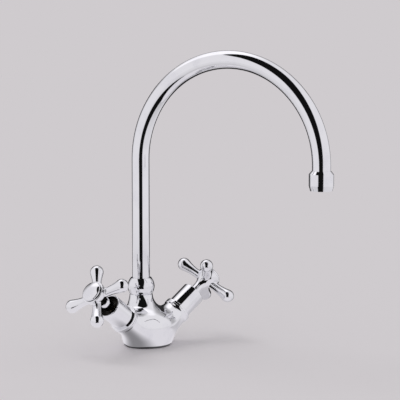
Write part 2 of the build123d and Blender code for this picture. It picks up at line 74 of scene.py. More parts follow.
log = logging.getLogger("kitchen_tap")

Colour = tuple[float, float, float]
Point = tuple[float, float, float]
Pair = tuple[float, float]
Pairs = tuple[Pair, ...]
Item = bpy.types.Object
Mesh = bpy.types.Mesh
Material = bpy.types.Material
Node = bpy.types.Node
Socket = bpy.types.NodeSocket
Nodes = dict[str, Item]
Looks = dict[str, object]


class Side(Enum):
    """The two valves of the tap, seen from the front."""

    LEFT = "left"
    RIGHT = "right"


class Lay(Enum):
    """How the tool marks of a finish lie on the piece."""

    CAST = "cast"
    DRAWN = "drawn"
    TURNED = "turned"


# === Shader graphs ===


@dataclass
class Graph:
    """A small hand for wiring shader nodes.

    Attributes:
        tree: The node tree that is being wired.
    """

    tree: bpy.types.NodeTree

    def add(self, kind: str, **settings: object) -> Node:
        """Add one node.

        Args:
            kind: Node type without its ShaderNode prefix.
            **settings: Properties of the node itself.

        Returns:
            The new node.
        """
        node = self.tree.nodes.new("ShaderNode" + kind)
        for name, value in settings.items():
            setattr(node, name, value)
        return node

    def feed(self, socket: Socket, value: object) -> None:
        """Link or set one input socket.

        Args:
            socket: The input.
            value: Another node's output, or a plain value.
        """
        if isinstance(value, Socket):
            self.tree.links.new(value, socket)
        else:
            socket.default_value = value

    def wire(self, node: Node, values: dict[int | str, object]) -> Node:
        """Feed several inputs of a node, by their places or names, and give it back."""
        for place, value in values.items():
            self.feed(node.inputs[place], value)
        return node

    def math(self, operation: str, *values: object) -> Socket:
        """Work out one number with a Math node, from sockets or numbers."""
        node = self.add("Math", operation=operation)
        return self.wire(node, dict(enumerate(values))).outputs[0]

    def vector(self, operation: str, *values: object) -> Node:
        """Work out a vector, or a number (output Value), with a Vector Math node."""
        node = self.add("VectorMath", operation=operation)
        return self.wire(node, dict(enumerate(values)))

    def dot(self, vector: Socket, direction: Vector) -> Socket:
        """Length of a vector along a fixed direction."""
        return self.vector("DOT_PRODUCT", vector, tuple(direction)).outputs["Value"]

    def place(self) -> Socket:
        """Each point's place on its own object, in metres."""
        return self.add("TexCoord").outputs["Object"]

    def ramp(
        self, value: object, low: object, high: object, to_low: object = 0.0, to_high: object = 1.0
    ) -> Socket:
        """Smooth step of a value between two limits.

        Args:
            value: The number to map.
            low: Where the step starts.
            high: Where it ends.
            to_low: Result below the step.
            to_high: Result above it.

        Returns:
            The output socket.
        """
        node = self.add("MapRange", interpolation_type="SMOOTHSTEP")
        limits = {"From Min": low, "From Max": high, "To Min": to_low, "To Max": to_high}
        return self.wire(node, {"Value": value, **limits}).outputs["Result"]

    def noise(self, vector: Socket, scale: float, detail: float = 2, rough: float = 0.5) -> Socket:
        """Fractal noise with a number of lumps per metre, about 0.5 on average."""
        given = {"Vector": vector, "Scale": scale, "Detail": detail, "Roughness": rough}
        return self.wire(self.add("TexNoise"), given).outputs["Fac"]

    def rings(self, place: Socket, axis: Vector) -> Socket:
        """Place read along an axis only, so that marks drawn there run around it."""
        return self.wire(self.add("CombineXYZ"), {2: self.dot(place, axis)}).outputs[0]

    def bump(self, height: Socket, depth: float, under: Socket | None = None) -> Socket:
        """Turn a height into a surface normal.

        Args:
            height: Height from 0 to 1.
            depth: Real height of 1, in metres.
            under: A normal that this one is laid on.

        Returns:
            The normal socket.
        """
        given = {"Strength": 1.0, "Distance": depth, "Height": height}
        if under is not None:
            given["Normal"] = under
        return self.wire(self.add("Bump"), given).outputs["Normal"]

    def blend(self, factor: object, first: object, second: object) -> Socket:
        """Mix two colours, a factor of 0 giving the first."""
        node = self.add("Mix", data_type="RGBA")
        for place, value in ((0, factor), (6, first), (7, second)):
            if isinstance(value, tuple) and len(value) == 3:
                value = (*value, 1.0)
            self.feed(node.inputs[place], value)
        return node.outputs[2]

    def between(self, factor: object, first: object, second: object) -> Socket:
        """Mix two numbers, a factor of 0 giving the first."""
        node = self.add("Mix", data_type="FLOAT")
        return self.wire(node, {0: factor, 2: first, 3: second}).outputs[0]

    def glow(self, colour: Colour, strength: object, kind: str = "Emission") -> Socket:
        """Light of a colour and a strength, from an Emission or a Background node."""
        given = {"Color": (*colour, 1.0), "Strength": strength}
        return self.wire(self.add(kind), given).outputs[0]

    def either(self, ray: str, first: Socket, second: Socket) -> Socket:
        """The second shader for one kind of ray, such as Is Camera Ray, and else the first."""
        share = self.add("LightPath").outputs[ray]
        return self.wire(self.add("MixShader"), {0: share, 1: first, 2: second}).outputs[0]


# === Finishes ===


@dataclass(frozen=True)
class Patches:
    """Soft-edged patches in a finish.

    Attributes:
        scale: Patches per metre.
        detail: Number of finer layers.
        rough: Weight of the finer layers.
        start: Noise value at which a patch begins to show.
        full: Noise value at which it shows in full.
    """

    scale: float
    detail: float
    rough: float
    start: float
    full: float

    def read(self, graph: Graph, place: Socket, most: float = 1.0) -> Socket:
        """How much of a patch shows at a place, from 0 to the most."""
        noise = graph.noise(place, self.scale, self.detail, self.rough)
        return graph.ramp(noise, self.start, self.full, 0.0, most)


@dataclass(frozen=True)
class Finish:
    """A procedural material with one principled shader.

    Attributes:
        name: Material name.
    """

    name: str

    def looks(self, graph: Graph) -> Looks:
        """What the shader's inputs are fed with."""
        raise NotImplementedError

    def build(self) -> Material:
        """Make the material."""
        material, graph, surface = start_material(self.name)
        shader = graph.wire(graph.add("BsdfPrincipled"), self.looks(graph))
        graph.feed(surface, shader.outputs[0])
        return material


@dataclass(frozen=True)
class Plating(Finish):
    """Polished chrome plating over brass.

    Attributes:
        lay: How the polishing marks under the plating run.
        axis: Direction of the piece's own axis, for drawn and turned pieces.
        colour: Reflected colour of clean plating.
        haze: Colour where a breath of haze dulls it.
        hazy: Where the haze lies.
        gloss: Roughness of clean plating.
        haze_gloss: Roughness in the hazy patches.
        spots: Where tiny dull spots lie.
        spot_gloss: Roughness that they add.
        ripple: Height of the soft waviness of the casting, metres.
        ripple_scale: Waves per metre.
        ripple_layers: Number and weight of its finer layers.
        marks: Height of the fine polishing marks, metres.
        marks_scale: Marks per metre across their run.
        marks_layers: Number and weight of their finer layers.
        drawn_stretch: How much longer drawn marks are than wide, 1 being endless.
        inner_shade_centre: A point on the piece's axis, metres.
        inner_shade_radius: Radius inside which the piece is painted near black as shade, 0 for
            none.
        inner_shade_fade: Half of the width over which the painted shade fades out, metres.
        inner_shade: Colour of the painted shade.
        inner_shade_gloss: Roughness that it adds.
    """

    lay: Lay = Lay.CAST
    axis: Point = (0.0, 0.0, 1.0)
    colour: Colour = (0.84, 0.84, 0.86)
    haze: Colour = (0.78, 0.78, 0.81)
    hazy: Patches = Patches(38.0, 5.0, 0.6, 0.46, 0.68)
    gloss: float = 0.035
    haze_gloss: float = 0.085
    spots: Patches = Patches(900.0, 2.0, 0.5, 0.66, 0.76)
    spot_gloss: float = 0.03
    ripple: float = 0.000012
    ripple_scale: float = 130.0
    ripple_layers: Pair = (1.0, 0.4)
    marks: float = 0.0000012
    marks_scale: float = 5200.0
    marks_layers: Pair = (3.0, 0.7)
    drawn_stretch: float = 0.97
    inner_shade_centre: Point = (0.0, 0.0, 0.0)
    inner_shade_radius: float = 0.0
    inner_shade_fade: float = 0.0001
    inner_shade: Colour = (0.018, 0.016, 0.014)
    inner_shade_gloss: float = 0.5

    def run(self, graph: Graph, place: Socket, axis: Vector) -> Socket:
        """Place measured across the polishing marks, so that they run with the lay.

        Args:
            graph: The material's graph.
            place: Each point's place.
            axis: The piece's own axis.

        Returns:
            The place that the marks are read at.
        """
        if self.lay is Lay.CAST:
            return place
        if self.lay is Lay.DRAWN:
            stretch = tuple(1.0 - self.drawn_stretch * abs(part) for part in axis)
            return graph.vector("MULTIPLY", place, stretch).outputs[0]
        return graph.rings(place, axis)

    def painted_inner_shade(self, graph: Graph, place: Socket, axis: Vector) -> Socket:
        """Share of painted shade at each place, 1 inside the shade's radius about the axis."""
        apart = graph.vector("SUBTRACT", place, self.inner_shade_centre).outputs[0]
        out = graph.vector("CROSS_PRODUCT", apart, tuple(axis)).outputs[0]
        size = graph.vector("LENGTH", out).outputs["Value"]
        start, stop = self.inner_shade_radius - self.inner_shade_fade, self.inner_shade_radius + self.inner_shade_fade
        return graph.ramp(size, start, stop, 1.0, 0.0)

    def looks(self, graph: Graph) -> Looks:
        """Haze, tiny spots, soft waves, fine polishing marks and, inside a given radius, painted
        shade.
        """
        place, axis = graph.place(), Vector(self.axis).normalized()
        haze = self.hazy.read(graph, place)
        gloss = graph.ramp(haze, 0.0, 1.0, self.gloss, self.haze_gloss)
        gloss = graph.math("ADD", gloss, self.spots.read(graph, place, self.spot_gloss))
        tone = graph.blend(haze, self.colour, self.haze)
        # Painted shade: inside the radius about the axis the plating is painted near black,
        # standing in for shadow.
        if self.inner_shade_radius > 0.0:
            inner_shade = self.painted_inner_shade(graph, place, axis)
            tone = graph.blend(inner_shade, tone, self.inner_shade)
            gloss = graph.math("MULTIPLY_ADD", inner_shade, self.inner_shade_gloss, gloss)
        across = self.run(graph, place, axis)
        marks = graph.noise(across, self.marks_scale, *self.marks_layers)
        ripple = graph.noise(place, self.ripple_scale, *self.ripple_layers)
        relief = graph.bump(ripple, self.ripple, graph.bump(marks, self.marks))
        return {"Metallic": 1.0, "Base Color": tone, "Roughness": gloss, "Normal": relief}


@dataclass(frozen=True)
class Dulled(Finish):
    """A plain finish with duller patches.

    Attributes:
        colour: Main colour.
        stain: Colour in the dull patches.
        gloss: Roughness of the clean surface.
    """

    colour: Colour
    stain: Colour
    gloss: float

    def dull(self, graph: Graph, patches: Patches, rougher: float) -> Looks:
        """Colour and roughness, with the patches.

        Args:
            graph: The material's graph.
            patches: Where it is dull.
            rougher: Roughness that this adds.

        Returns:
            What these two inputs are fed with.
        """
        dull = patches.read(graph, graph.place())
        tone = graph.blend(dull, self.colour, self.stain)
        gloss = graph.ramp(dull, 0.0, 1.0, self.gloss, self.gloss + rougher)
        return {"Base Color": tone, "Roughness": gloss}


@dataclass(frozen=True)
class Metal(Dulled):
    """Bare turned or stamped metal.

    Attributes:
        axis: Axis that the tool marks run around.
        pitch: Tool marks per metre.
        layers: Number and weight of their finer layers.
        depth: Depth of a tool mark, metres.
        dulled: Where the metal has dulled.
        rougher: Roughness that this adds.
    """

    axis: Point = (0.0, 0.0, 1.0)
    pitch: float = 2600.0
    layers: Pair = (2.0, 0.6)
    depth: float = 0.000006
    dulled: Patches = Patches(120.0, 4.0, 0.6, 0.4, 0.7)
    rougher: float = 0.14

    def looks(self, graph: Graph) -> Looks:
        """Dull patches and fine tool marks."""
        across = graph.rings(graph.place(), Vector(self.axis).normalized())
        relief = graph.bump(graph.noise(across, self.pitch, *self.layers), self.depth)
        looks = self.dull(graph, self.dulled, self.rougher)
        return {**looks, "Metallic": 1.0, "Normal": relief}


@dataclass(frozen=True)
class Moulding(Dulled):
    """Moulded rubber, plastic or pressed ceramic.

    Attributes:
        grain: Grains per metre.
        depth: Height of the grain, metres.
        mottled: Where the mottled patches lie.
        rougher: Roughness that they add.
    """

    grain: float = 2200.0
    depth: float = 0.00001
    mottled: Patches = Patches(260.0, 4.0, 0.6, 0.35, 0.7)
    rougher: float = 0.12

    def looks(self, graph: Graph) -> Looks:
        """Mottled patches and a fine grain."""
        relief = graph.bump(graph.noise(graph.place(), self.grain), self.depth)
        return {**self.dull(graph, self.mottled, self.rougher), "Normal": relief}


def start_material(name: str) -> tuple[Material, Graph, Socket]:
    """Start a node material with nothing in it but its output.

    Args:
        name: Material name.

    Returns:
        The material, its graph and the surface input of its output.
    """
    material = bpy.data.materials.new(name)
    material.use_nodes = True
    material.node_tree.nodes.clear()
    graph = Graph(material.node_tree)
    return material, graph, graph.add("OutputMaterial").inputs["Surface"]


# === Objects ===


def put(name: str, data: bpy.types.ID) -> Item:
    """Make an object of some data and put it in the scene."""
    item = bpy.data.objects.new(name, data)
    bpy.context.scene.collection.objects.link(item)
    return item


def to_mesh(name: str, shape: bmesh.types.BMesh) -> Mesh:
    """Write a shape to a new mesh and free it."""
    mesh = bpy.data.meshes.new(name)
    shape.to_mesh(mesh)
    shape.free()
    return mesh


# === Studio ===


@dataclass(frozen=True)
class PhotoCamera:
    """The camera of the photograph.

    Attributes:
        azimuth: Turn about the tap, degrees, 0 being straight in front.
        elevation: Height angle, degrees.
        distance: From the aim point, metres.
        aim_height: Height of the aim point over the base.
        sideways: Offset of the camera to its own right.
        upward: Offset of the camera upward.
        focal_share: Focal length over the width of the picture.
        sensor: Width of the sensor, millimetres.
        far: How far it sees, metres.
    """

    azimuth: float = -43.48
    elevation: float = 5.94
    distance: float = 1.5
    aim_height: float = 0.15
    sideways: float = 0.05398
    upward: float = -0.00068
    focal_share: float = 3.6836
    sensor: float = 36.0
    far: float = 50.0

    def axes(self) -> tuple[Vector, Vector, Vector]:
        """Right, up and backward directions of the camera."""
        turn, rise = radians(self.azimuth), radians(self.elevation)
        right = Vector((cos(turn), sin(turn), 0.0))
        back = Vector((sin(turn) * cos(rise), -cos(turn) * cos(rise), sin(rise)))
        return right, back.cross(right), back

    def ahead(self) -> Vector:
        """Level direction from the tap towards the camera."""
        back = self.axes()[2]
        return Vector((back.x, back.y, 0.0)).normalized()

    def towards(self, bearing: float, elevation: float) -> Vector:
        """Direction at a bearing from the camera's own, and at an elevation, in degrees."""
        turn, rise = radians(bearing), radians(elevation)
        level = self.ahead() * cos(turn) + self.axes()[0] * sin(turn)
        return level * cos(rise) + UP * sin(rise)

    def build(self) -> None:
        """Make the camera and make it the scene's own."""
        right, up, back = self.axes()
        data = bpy.data.cameras.new("photo_camera")
        data.sensor_width = self.sensor
        data.lens = self.focal_share * self.sensor
        data.clip_end = self.far
        camera = put("photo_camera", data)
        spin = Matrix((right, up, back)).transposed().to_4x4()
        place = Vector((0.0, 0.0, self.aim_height)) + back * self.distance
        place += right * self.sideways + up * self.upward
        camera.matrix_world = Matrix.Translation(place) @ spin
        bpy.context.scene.camera = camera
        log.info("camera: %.1f mm lens, %.2f m away", data.lens, self.distance)


@dataclass(frozen=True)
class Surround:
    """A tent of soft light panels, with a dark gap between them, that the plating reflects.

    Angles are degrees. Bearings are turned from the camera's own bearing, right being
    positive. Each edge of the gap is a list of (elevation, bearing).

    Attributes:
        radius: Radius of the tent, metres.
        centre: Its middle.
        rounds: How often its facets are divided.
        gap_left: Left edge of the dark gap.
        gap_right: Right edge of the dark gap.
        edge_blur: Softness of the gap's edges.
        gap_light: Brightness inside the gap.
        panel_light: Brightness of the soft panels.
        paper_light: Brightness of the paper behind the tap.
        paper_bearings: Where the panels give way to the paper.
        rear_light: Brightness of the dark screens beside the paper.
        rear_bearings: Where they start.
        rear_elevations: Where they end, upward.
        overhead: Elevations where the panels close over the paper.
        key: Bearing and elevation of the bright overhead light.
        key_reach: How far from its middle it is full, and where it ends.
        key_light: Brightness that it adds.
        floor_light: Brightness of the floor straight down, and below the horizon.
        floor_elevations: Where the one passes into the other.
        horizon: Elevations where the floor gives way to the tent.
        tint: Colour of all of it.
        fill: Even light for surfaces that aren't polished.
        background: Colour that the camera sees behind the tap.
    """

    radius: float = 0.8
    centre: Point = (0.0, 0.0, 0.1)
    rounds: int = 5
    gap_left: Pairs = (
        (-90.0, -40.0), (-55.0, -32.0), (-30.0, -26.0), (-10.0, -18.5), (0.0, -19.5),
        (20.0, -24.0), (30.0, -26.0), (40.0, -34.0), (50.0, -45.0), (58.0, -58.0),
        (66.0, -75.0), (90.0, -85.0),
    )
    gap_right: Pairs = (
        (-90.0, 45.0), (-55.0, 38.0), (-30.0, 29.0), (-10.0, 23.0), (0.0, 24.0),
        (20.0, 30.0), (30.0, 34.0), (40.0, 38.0), (50.0, 43.0), (66.0, 56.0),
        (90.0, 64.0),
    )
    edge_blur: float = 2.5
    gap_light: float = 0.006
    panel_light: float = 0.86
    paper_light: float = 0.42
    paper_bearings: Pair = (112.0, 138.0)
    rear_light: float = 0.03
    rear_bearings: Pair = (134.0, 144.0)
    rear_elevations: Pair = (24.0, 36.0)
    overhead: Pair = (38.0, 60.0)
    key: Pair = (-150.0, 62.0)
    key_reach: Pair = (18.0, 34.0)
    key_light: float = 0.35
    floor_light: Pair = (0.46, 0.80)
    floor_elevations: Pair = (-75.0, -15.0)
    horizon: Pair = (-9.0, -3.0)
    tint: Colour = (1.0, 0.985, 1.02)
    fill: float = 0.615
    background: Colour = (0.624, 0.597, 0.617)

    def edge(self, graph: Graph, height: Socket, stations: Pairs) -> tuple[Socket, Socket]:
        """One edge of the gap at each elevation.

        Args:
            graph: The tent's graph.
            height: Elevation from 0, straight down, to 1, straight up.
            stations: (elevation, bearing) along the edge.

        Returns:
            The bearings between which the edge fades, in degrees.
        """
        node = graph.add("FloatCurve")
        curve = node.mapping.curves[0]
        points = [(0.5 + rise / HALF_TURN, 0.5 + turn / FULL_TURN) for rise, turn in stations]
        curve.points[0].location, curve.points[1].location = points[0], points[-1]
        for point in points[1:-1]:
            curve.points.new(*point)
        for point in curve.points:
            point.handle_type = "VECTOR"
        node.mapping.update()
        graph.feed(node.inputs["Value"], height)
        middle = graph.math("MULTIPLY_ADD", node.outputs[0], FULL_TURN, -HALF_TURN)
        blur = self.edge_blur
        return graph.math("SUBTRACT", middle, blur), graph.math("ADD", middle, blur)

    def build(self, camera: PhotoCamera) -> None:
        """Make the tent and the even light outside it.

        Args:
            camera: Gives the bearing that the others are turned from.
        """
        world = bpy.data.worlds.new("studio")
        world.use_nodes = True
        bpy.context.scene.world = world
        outside = Graph(world.node_tree)
        outside.tree.nodes.clear()
        even = outside.glow((1.0, 1.0, 1.0), self.fill, "Background")
        seen = outside.glow(self.background, 1.0, "Background")
        final = outside.either("Is Camera Ray", even, seen)
        outside.feed(outside.add("OutputWorld").inputs["Surface"], final)

        shape = bmesh.new()
        bmesh.ops.create_icosphere(shape, subdivisions=self.rounds, radius=self.radius)
        mesh = to_mesh("light_tent", shape)
        mesh.materials.append(self.cloth(camera))
        tent = put("light_tent", mesh)
        tent.location = self.centre
        tent.visible_camera = tent.visible_diffuse = tent.visible_shadow = False
        log.info("light tent: gap of %d and %d stations", len(self.gap_left), len(self.gap_right))

    def cloth(self, camera: PhotoCamera) -> Material:
        """Make the tent's glowing material.

        Args:
            camera: Gives the bearing that the others are turned from.

        Returns:
            The material.
        """
        material, graph, surface = start_material("tent_light")
        ray = graph.vector("NORMALIZE", graph.place()).outputs[0]
        right, ahead = camera.axes()[0], camera.ahead()
        turn = graph.math("ARCTAN2", graph.dot(ray, right), graph.dot(ray, ahead))
        bearing = graph.math("MULTIPLY", turn, degrees(1.0))
        rise = graph.math("ARCSINE", graph.dot(ray, UP))
        elevation = graph.math("MULTIPLY", rise, degrees(1.0))
        height = graph.math("MULTIPLY_ADD", elevation, 1.0 / HALF_TURN, 0.5)

        after = graph.ramp(bearing, *self.edge(graph, height, self.gap_left))
        before = graph.ramp(bearing, *self.edge(graph, height, self.gap_right), 1.0, 0.0)
        gap = graph.math("MULTIPLY", after, before)

        away = graph.math("ABSOLUTE", bearing)
        walls = graph.ramp(away, *self.paper_bearings, self.panel_light, self.paper_light)
        closing = graph.ramp(elevation, *self.overhead)
        closing = graph.math("MULTIPLY", closing, self.panel_light - self.paper_light)
        above = graph.math("MINIMUM", graph.math("ADD", walls, closing), self.panel_light)
        near = graph.dot(ray, camera.towards(*self.key))
        full, end = (cos(radians(reach)) for reach in self.key_reach)
        above = graph.math("MULTIPLY_ADD", graph.ramp(near, end, full), self.key_light, above)

        ground = graph.ramp(elevation, *self.floor_elevations, *self.floor_light)
        light = graph.between(graph.ramp(elevation, *self.horizon), ground, above)
        low = graph.ramp(elevation, *self.rear_elevations, 1.0, 0.0)
        rear = graph.math("MULTIPLY", graph.ramp(away, *self.rear_bearings), low)
        light = graph.between(rear, light, self.rear_light)
        light = graph.between(gap, light, self.gap_light)
        graph.feed(surface, graph.glow(self.tint, light))
        return material


@dataclass(frozen=True)
class SoftLight:
    """One large soft lamp that gives the tap its shadow on the floor.

    Attributes:
        bearing: From the camera's bearing, degrees.
        elevation: Height angle, degrees.
        spread: Apparent size, degrees.
        strength: Light on a surface that faces it.
    """

    bearing: float = -128.0
    elevation: float = 58.0
    spread: float = 34.0
    strength: float = 0.5

    def build(self, camera: PhotoCamera) -> None:
        """Make the lamp.

        Args:
            camera: Gives the bearing that the lamp's is turned from.
        """
        data = bpy.data.lights.new("soft_light", "SUN")
        data.angle = radians(self.spread)
        data.energy = self.strength
        lamp = put("soft_light", data)
        towards = camera.towards(self.bearing, self.elevation)
        lamp.rotation_euler = towards.to_track_quat("Z", "Y").to_euler()
        lamp.visible_glossy = False
        log.info("soft light: %.0f degrees wide", self.spread)


@dataclass(frozen=True)
class Floor:
    """The plain pale floor, and the part of it near the tap that its plating reflects, which glows
    there as a painted reflection of lit paper.

    Attributes:
        radius: How far the floor reaches.
        near_radius: How far the reflected part reaches.
        near_lift: Its height over the rest.
        colour: Colour of the floor.
        painted_glow: Brightness of the near part's painted glow in polished metal.
        shade_light: Brightness in the shade under the left valve.
        shade_place: Middle of that shade, to the camera's right and towards it, metres.
        shade_reach: Where the shade starts to fade and where it ends, metres.
        painted_contact_shadow: Where the painted contact shadow, a dark line around the foot,
            fades, metres.
        contact_shadow_share: How much of the glow's brightness is left in that painted shadow.
        rear_shade: Where painted shade darkens the glow behind the tap, metres.
        rear_shade_share: How much of the glow's brightness is left in that painted shade.
        gloss: Roughness of the paper.
        segments: Corners of the outlines.
    """

    radius: float = 14.0
    near_radius: float = 0.17
    near_lift: float = 0.00002
    colour: Colour = (0.832, 0.796, 0.823)
    painted_glow: Colour = (0.82, 0.8, 0.84)
    shade_light: float = 0.26
    shade_place: Pair = (-0.012, 0.028)
    shade_reach: Pair = (0.004, 0.031)
    painted_contact_shadow: Pair = (0.0252, 0.0266)
    contact_shadow_share: float = 0.1
    rear_shade: Pair = (0.015, 0.055)
    rear_shade_share: float = 0.74
    gloss: float = 0.9
    segments: int = 128

    def disc(self, name: str, radius: float, height: float, material: Material) -> Item:
        """Make one flat disc of floor.

        Args:
            name: Its name.
            radius: Its radius.
            height: Its height.
            material: Its finish.

        Returns:
            The disc.
        """
        shape = bmesh.new()
        bmesh.ops.create_circle(shape, cap_ends=True, radius=radius, segments=self.segments)
        bmesh.ops.translate(shape, vec=UP * height, verts=shape.verts)
        mesh = to_mesh(name, shape)
        mesh.materials.append(material)
        disc = put(name, mesh)
        return disc

    def paper(self, graph: Graph) -> Socket:
        """Shader of the plain paper."""
        given = {"Base Color": (*self.colour, 1.0), "Roughness": self.gloss}
        given["Specular IOR Level"] = 0.0
        return graph.wire(graph.add("BsdfPrincipled"), given).outputs[0]

    def near_light(self, graph: Graph, camera: PhotoCamera) -> Socket:
        """How bright the near part's painted glow is in polished metal.

        Args:
            graph: The near part's graph.
            camera: Gives the directions that the shade is placed by.

        Returns:
            Share of the painted glow's brightness at each place.
        """
        place, ahead = graph.place(), camera.ahead()
        sideways, forward = self.shade_place
        middle = tuple(camera.axes()[0] * sideways + ahead * forward)
        apart = graph.vector("DISTANCE", place, middle).outputs["Value"]
        light = graph.ramp(apart, *self.shade_reach, self.shade_light / self.painted_glow[1])
        around = graph.vector("LENGTH", place).outputs["Value"]
        # Painted contact shadow: a dark line in the glow around the foot.
        foot = graph.ramp(around, *self.painted_contact_shadow, self.contact_shadow_share, 1.0)
        light = graph.math("MULTIPLY", light, foot)
        # Painted shade: the glow darkens behind the tap.
        behind = graph.ramp(graph.dot(place, -ahead), *self.rear_shade, 1.0, self.rear_shade_share)
        return graph.math("MULTIPLY", light, behind)

    def build(self, camera: PhotoCamera) -> None:
        """Make the floor.

        Args:
            camera: Gives the directions that the shade is placed by.
        """
        material, graph, surface = start_material("floor_paper")
        graph.feed(surface, self.paper(graph))
        wide = self.disc("floor", self.radius, -self.near_lift, material)
        wide.visible_glossy = False
        material, graph, surface = start_material("near_paper_painted_glow")
        # Painted reflection: for reflected rays the near floor glows in place of lit paper. The
        # glow holds painted shade under the left valve, a painted contact shadow around the foot
        # and painted shade behind the tap.
        glow = graph.glow(self.painted_glow, self.near_light(graph, camera))
        graph.feed(surface, graph.either("Is Glossy Ray", self.paper(graph), glow))
        self.disc("near_floor", self.near_radius, 0.0, material)
        log.info("floor: %.0f m across", 2.0 * self.radius)


# === Shapes ===


@dataclass(frozen=True)
class ValveLine:
    """Axis of one valve, in millimetres and degrees.

    Attributes:
        side: Which valve.
        offset: How far in front of the origin the two axes meet.
        height: Height of the point where they meet.
        elevation: Slope of the axis.
        splay: How far it turns forward.
    """

    side: Side
    offset: float = 1.5
    height: float = 5.3
    elevation: float = 36.3
    splay: float = 5.8

    @property
    def centre(self) -> Vector:
        """Point where the two axes meet."""
        return Vector((0.0, -self.offset, self.height))

    @property
    def along(self) -> Vector:
        """Direction from the body to the handle."""
        slope, turn = radians(self.elevation), radians(self.splay)
        sign = -1.0 if self.side is Side.LEFT else 1.0
        return Vector((sign * cos(slope) * cos(turn), -cos(slope) * sin(turn), sin(slope)))

    def at(self, reach: float) -> Vector:
        """Point on the axis at a reach from the centre."""
        return self.centre + self.along * reach


def soft_union(first: np.ndarray, second: np.ndarray, width: float) -> np.ndarray:
    """Join two distance fields with a smooth fillet of the given width."""
    share = np.clip(0.5 + 0.5 * (second - first) / width, 0.0, 1.0)
    return second + (first - second) * share - width * share * (1.0 - share)


def soft_cut(first: np.ndarray, second: np.ndarray, width: float) -> np.ndarray:
    """Keep what two distance fields share, with a rounded edge of the given width."""
    return -soft_union(-first, -second, width)


@dataclass(frozen=True)
class CastForm:
    """Outer form of the cast body as one smooth distance field, in millimetres.

    Attributes:
        foot: Radius of the cup at its foot.
        flare: How fast the cup widens.
        curl: How much it straightens on the way up.
        crown: Height that the cup's top would reach on its axis.
        fall: Slope of the top.
        rim_round: Width of the rounding at the rim.
        foot_round: Width of the rounding at the foot.
        sunk: How far the underside lies below the base, where the form is cut flat.
        socket: Radius of the valve sockets.
        lip: Radius of their ends.
        lip_start: Reach where the ends begin to widen.
        lip_length: Length of the widening.
        socket_root: Reach where the sockets start.
        root_round: Rounding of their roots.
        socket_blend: Width of the blend between a socket and the cup.
        neck: Radius of the neck at its top.
        neck_height: Height of its top.
        neck_offset: How far behind the origin it stands.
        neck_lean: How fast it widens below its top.
        neck_curve: How much faster further down.
        neck_root: Height where the neck starts.
        neck_back: How far back it may widen.
        neck_blend: Width of the blend between the neck and the cup.
        settling: How often the points are drawn onto the surface.
        least_slope: Least square of the slope that they are drawn along.
        valves: The two valve axes.
    """

    foot: float = 24.2
    flare: float = 0.27
    curl: float = 0.003
    crown: float = 44.0
    fall: float = 0.5
    rim_round: float = 12.0
    foot_round: float = 4.0
    sunk: float = 0.2
    socket: float = 13.8
    lip: float = 14.7
    lip_start: float = 40.9
    lip_length: float = 2.4
    socket_root: float = 19.0
    root_round: float = 6.0
    socket_blend: float = 10.0
    neck: float = 11.7
    neck_height: float = 51.8
    neck_offset: float = 9.6
    neck_lean: float = 0.12
    neck_curve: float = 0.01
    neck_root: float = 25.0
    neck_back: float = 24.5
    neck_blend: float = 9.0
    settling: int = 3
    least_slope: float = 1e-6
    valves: tuple[ValveLine, ...] = (ValveLine(Side.LEFT), ValveLine(Side.RIGHT))

    def distance(self, points: np.ndarray) -> np.ndarray:
        """Distance from points to the form, negative inside.

        Args:
            points: Array whose last axis is x, y, z.

        Returns:
            The distances.
        """
        x, y, z = points[..., 0], points[..., 1], points[..., 2]
        radius = np.hypot(x, y)
        wall = radius - (self.foot + self.flare * z - self.curl * z * z)
        top = z - (self.crown - self.fall * radius)
        wall, top = wall / np.hypot(1.0, self.flare), top / np.hypot(1.0, self.fall)
        cup = soft_cut(wall, top, self.rim_round)
        form = soft_cut(cup, -z - self.sunk, self.foot_round)
        for valve in self.valves:
            apart = points - np.array(valve.centre)
            reach = apart @ np.array(valve.along)
            out = np.sqrt(np.maximum((apart * apart).sum(-1) - reach * reach, 0.0))
            step = np.clip((reach - self.lip_start) / self.lip_length, 0.0, 1.0)
            size = self.socket + (self.lip - self.socket) * step * step * (3.0 - 2.0 * step)
            socket = soft_cut(out - size, self.socket_root - reach, self.root_round)
            form = soft_union(form, socket, self.socket_blend)
        drop = np.maximum(self.neck_height - z, 0.0)
        size = self.neck + self.neck_lean * drop + self.neck_curve * drop * drop
        neck = np.hypot(x, y - self.neck_offset) - size
        neck = soft_cut(neck, self.neck_root - z, self.root_round)
        neck = soft_cut(neck, y - self.neck_back, self.root_round)
        return soft_union(form, neck, self.neck_blend)

    def slope(self, points: np.ndarray, reach: float = 0.02) -> np.ndarray:
        """Gradient of the distance at each point, measured over twice the reach."""
        steps = reach * np.eye(3)
        parts = [self.distance(points + step) - self.distance(points - step) for step in steps]
        return np.stack(parts, -1) / (2.0 * reach)

    def mesh(self, low: Point, high: Point, pitch: float) -> tuple[np.ndarray, np.ndarray]:
        """Polygons of the form's surface inside a box, open where the box cuts it.

        Args:
            low: Lowest corner of the box.
            high: Highest corner.
            pitch: Size of a polygon.

        Returns:
            Points, and quads as rows of four point numbers.
        """
        axes = [np.arange(start, stop + pitch, pitch) for start, stop in zip(low, high)]
        slices = []
        for x in axes[0]:
            grid = np.meshgrid(x, *axes[1:], indexing="ij")
            slices.append(self.distance(np.stack(grid, -1)[0]))
        points, quads = surface_net(np.stack(slices))
        points = np.array(low) + pitch * points
        for _ in range(self.settling):
            slope = self.slope(points)
            square = np.maximum((slope * slope).sum(1), self.least_slope)
            points = points - self.distance(points)[:, None] * slope / square[:, None]
        return points, quads


def cell_corner(array: np.ndarray, at: tuple[int, ...]) -> np.ndarray:
    """Values of a grid at one corner of every cell."""
    return array[tuple(slice(part, size - 1 + part) for part, size in zip(at, array.shape))]


